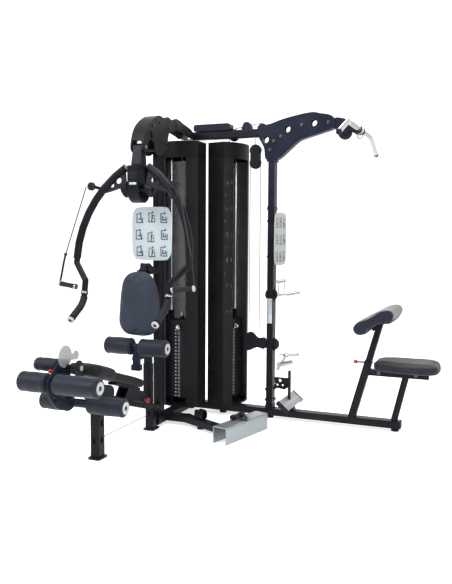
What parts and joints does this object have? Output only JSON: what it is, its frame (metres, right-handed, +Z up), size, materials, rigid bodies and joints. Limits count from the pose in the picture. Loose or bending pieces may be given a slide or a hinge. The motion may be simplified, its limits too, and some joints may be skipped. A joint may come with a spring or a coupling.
{
  "type": "multi station home gym",
  "caption": "L-shaped multi station home gym with press, fly, leg, high, middle and low pulley stations, two weight towers and a curl bench.",
  "frame": {"origin": "on the floor under the pulley column, at the centre of its foot", "axes": "+X along the base rail towards the curl bench, -Y along the press station towards its user, +Z up"},
  "size_m": [2.2695, 2.2805, 2.1088],
  "materials": {
    "frame_paint": "satin textured powder coat, near black",
    "boom_paint": "satin powder coat, blue-black",
    "arch_paint": "satin powder coat, warm dark grey",
    "mesh_steel": "perforated sheet, satin black",
    "black_plastic": "moulded black plastic",
    "rubber": "matte black rubber",
    "chrome": "polished",
    "silver_tread": "brushed, checkered tread",
    "iron": "dark painted plates",
    "cable": "clear-coated wire cable",
    "acrylic": "pale translucent sheet",
    "foam_vinyl": "dark slate-blue vinyl over foam",
    "seat_vinyl": "dark grey vinyl",
    "bench_vinyl": "dark grey vinyl with navy sides",
    "strap": "black webbing",
    "red_plastic": "red moulded knob",
    "pin_white": "pale knob"
  },
  "bodies": {
    "frame": {"base_rail": "frame_paint", "station_rail": "frame_paint", "row_outrigger": "frame_paint", "seat_rail": "frame_paint", "feet_and_caps": "rubber", "row_footplate": "silver_tread", "row_strap": "strap", "press_upright": "frame_paint", "column": "boom_paint", "top_beam": "frame_paint", "beam_covers": "boom_paint", "press_top_plates": "arch_paint", "boom": "boom_paint", "tower_plates": "black_plastic", "left_shroud": "mesh_steel", "right_shroud": "mesh_steel", "guide_rods": "chrome", "left_weight_plates": "iron", "right_weight_plates": "iron", "acrylic_panels": "acrylic", "guide_cables": "cable", "pulley_blocks": "black_plastic", "seat_brackets": "frame_paint", "column_footplate": "silver_tread", "bench_frame": "frame_paint", "bench_seat": "bench_vinyl", "bolts": "chrome", "left_lift_cable": "cable", "right_lift_cable": "cable"},
    "press_head": {"press_head": "frame_paint"},
    "right_arm": {"right_press_arm": "boom_paint"},
    "left_arm": {"left_press_arm": "boom_paint"},
    "right_arm_wheel": {"right_arm_pulley": "black_plastic"},
    "left_arm_wheel": {"left_arm_pulley": "black_plastic"},
    "right_fly": {"right_fly_handle": "chrome"},
    "left_fly": {"left_fly_handle": "chrome"},
    "leg_lever": {"leg_lever": "boom_paint"},
    "knee_rollers": {"knee_rollers": "foam_vinyl"},
    "ankle_rollers": {"ankle_rollers": "foam_vinyl"},
    "hold_down_roller": {"hold_down_roller": "foam_vinyl"},
    "seat": {"seat_carriage": "frame_paint", "seat_pad": "seat_vinyl"},
    "back_rest": {"back_pad": "foam_vinyl", "back_pad_plate": "boom_paint"},
    "thigh_arm": {"thigh_arm": "boom_paint"},
    "thigh_rollers": {"thigh_rollers": "foam_vinyl"},
    "preacher": {"preacher_post": "boom_paint", "preacher_pad": "bench_vinyl"},
    "left_stack": {"left_stack_head": "iron"},
    "right_stack": {"right_stack_head": "iron"},
    "left_pin": {"left_pin": "pin_white"},
    "right_pin": {"right_pin": "pin_white"},
    "lat_bar": {"lat_bar": "chrome"},
    "high_pulley": {"high_pulley": "black_plastic"},
    "mid_pulley": {"mid_pulley": "black_plastic"},
    "low_pulley": {"low_pulley": "black_plastic"},
    "mid_handle": {"mid_handle": "chrome"},
    "row_handle": {"row_handle": "chrome"},
    "bench_plunger": {"bench_plunger": "red_plastic"},
    "leg_plunger": {"leg_plunger": "red_plastic"}
  },
  "joints": [
    {"name": "press_start_tilt", "type": "hinge", "parent": "frame", "child": "press_head", "pos_m": [-0.63, -0.745, 1.83], "axis": [-1, 0, 0], "range_deg": [0, 25]},
    {"name": "right_arm_press", "type": "hinge", "parent": "press_head", "child": "right_arm", "pos_m": [-0.63, -0.755, 1.6], "axis": [-0.9336, 0, 0.3584], "range_deg": [0, 55]},
    {"name": "left_arm_press", "type": "hinge", "parent": "press_head", "child": "left_arm", "pos_m": [-0.63, -0.755, 1.6], "axis": [-0.9336, 0, -0.3584], "range_deg": [0, 55]},
    {"name": "right_arm_pulley_spin", "type": "hinge", "parent": "right_arm", "child": "right_arm_wheel", "pos_m": [-0.338, -0.838, 1.588], "axis": [0, 1, 0], "continuous": true},
    {"name": "left_arm_pulley_spin", "type": "hinge", "parent": "left_arm", "child": "left_arm_wheel", "pos_m": [-0.922, -0.838, 1.588], "axis": [0, 1, 0], "continuous": true},
    {"name": "right_fly_swing", "type": "hinge", "parent": "right_arm", "child": "right_fly", "pos_m": [-0.308, -0.848, 1.584], "axis": [0, -1, 0], "range_deg": [0, 40]},
    {"name": "left_fly_swing", "type": "hinge", "parent": "left_arm", "child": "left_fly", "pos_m": [-0.952, -0.848, 1.584], "axis": [0, 1, 0], "range_deg": [0, 40]},
    {"name": "leg_lever_swing", "type": "hinge", "parent": "frame", "child": "leg_lever", "pos_m": [-0.63, -1.49, 0.572], "axis": [-1, 0, 0], "range_deg": [0, 90]},
    {"name": "knee_rollers_spin", "type": "hinge", "parent": "leg_lever", "child": "knee_rollers", "pos_m": [-0.63, -1.6, 0.5], "axis": [1, 0, 0], "continuous": true},
    {"name": "ankle_rollers_spin", "type": "hinge", "parent": "leg_lever", "child": "ankle_rollers", "pos_m": [-0.63, -1.392, 0.352], "axis": [1, 0, 0], "continuous": true},
    {"name": "hold_down_spin", "type": "hinge", "parent": "leg_lever", "child": "hold_down_roller", "pos_m": [-0.63, -1.5, 0.578], "axis": [1, 0, 0], "continuous": true},
    {"name": "leg_plunger_pull", "type": "slide", "parent": "leg_lever", "child": "leg_plunger", "axis": [-1, 0, 0], "range_m": [0, 0.012], "stiffness_N_per_m": 900, "springref_m": -0.004},
    {"name": "seat_slide", "type": "slide", "parent": "frame", "child": "seat", "axis": [0, 0.9532, -0.3024], "range_m": [0, 0.05]},
    {"name": "back_rest_tilt", "type": "hinge", "parent": "frame", "child": "back_rest", "pos_m": [-0.63, -0.672, 1.086], "axis": [-1, 0, 0], "range_deg": [0, 14]},
    {"name": "thigh_arm_slide", "type": "slide", "parent": "frame", "child": "thigh_arm", "axis": [0, 0, 1], "range_m": [-0.044, 0]},
    {"name": "thigh_rollers_spin", "type": "hinge", "parent": "thigh_arm", "child": "thigh_rollers", "pos_m": [-0.63, -0.79, 0.58], "axis": [1, 0, 0], "continuous": true},
    {"name": "preacher_slide", "type": "slide", "parent": "frame", "child": "preacher", "axis": [0.2639, 0, 0.9646], "range_m": [0, 0.12]},
    {"name": "bench_plunger_pull", "type": "slide", "parent": "frame", "child": "bench_plunger", "axis": [-1, 0, 0], "range_m": [0, 0.012], "stiffness_N_per_m": 900, "springref_m": -0.004},
    {"name": "left_stack_lift", "type": "slide", "parent": "frame", "child": "left_stack", "axis": [0, 0, 1], "range_m": [0, 1], "deforming": ["left_lift_cable"]},
    {"name": "right_stack_lift", "type": "slide", "parent": "frame", "child": "right_stack", "axis": [0, 0, 1], "range_m": [0, 1], "deforming": ["right_lift_cable"]},
    {"name": "left_pin_pull", "type": "slide", "parent": "left_stack", "child": "left_pin", "axis": [0, -1, 0], "range_m": [0, 0.05]},
    {"name": "right_pin_pull", "type": "slide", "parent": "right_stack", "child": "right_pin", "axis": [0.9703, -0.2419, 0], "range_m": [0, 0.05]},
    {"name": "lat_bar_lift", "type": "slide", "parent": "frame", "child": "lat_bar", "axis": [0, 0, 1], "range_m": [0, 0.15]},
    {"name": "high_pulley_spin", "type": "hinge", "parent": "frame", "child": "high_pulley", "pos_m": [0.5, 0, 1.966], "axis": [0, 1, 0], "continuous": true},
    {"name": "mid_pulley_spin", "type": "hinge", "parent": "frame", "child": "mid_pulley", "pos_m": [0, 0, 0.874], "axis": [0, 1, 0], "continuous": true},
    {"name": "low_pulley_spin", "type": "hinge", "parent": "frame", "child": "low_pulley", "pos_m": [0.016, 0, 0.525], "axis": [0, 1, 0], "continuous": true},
    {"name": "mid_handle_swivel", "type": "hinge", "parent": "frame", "child": "mid_handle", "pos_m": [0.05, 0, 0.874], "axis": [0, 0, 1], "range_deg": [-30, 30]},
    {"name": "row_handle_swing", "type": "hinge", "parent": "frame", "child": "row_handle", "pos_m": [0.07, 0, 0.452], "axis": [0, -1, 0], "range_deg": [0, 45]}
  ],
  "couplings": [
    {"joint": "left_arm_press", "follows": "right_arm_press", "ratio": 1},
    {"joint": "left_stack_lift", "follows": "right_arm_press", "m_per_rad": 0.6}
  ]
}
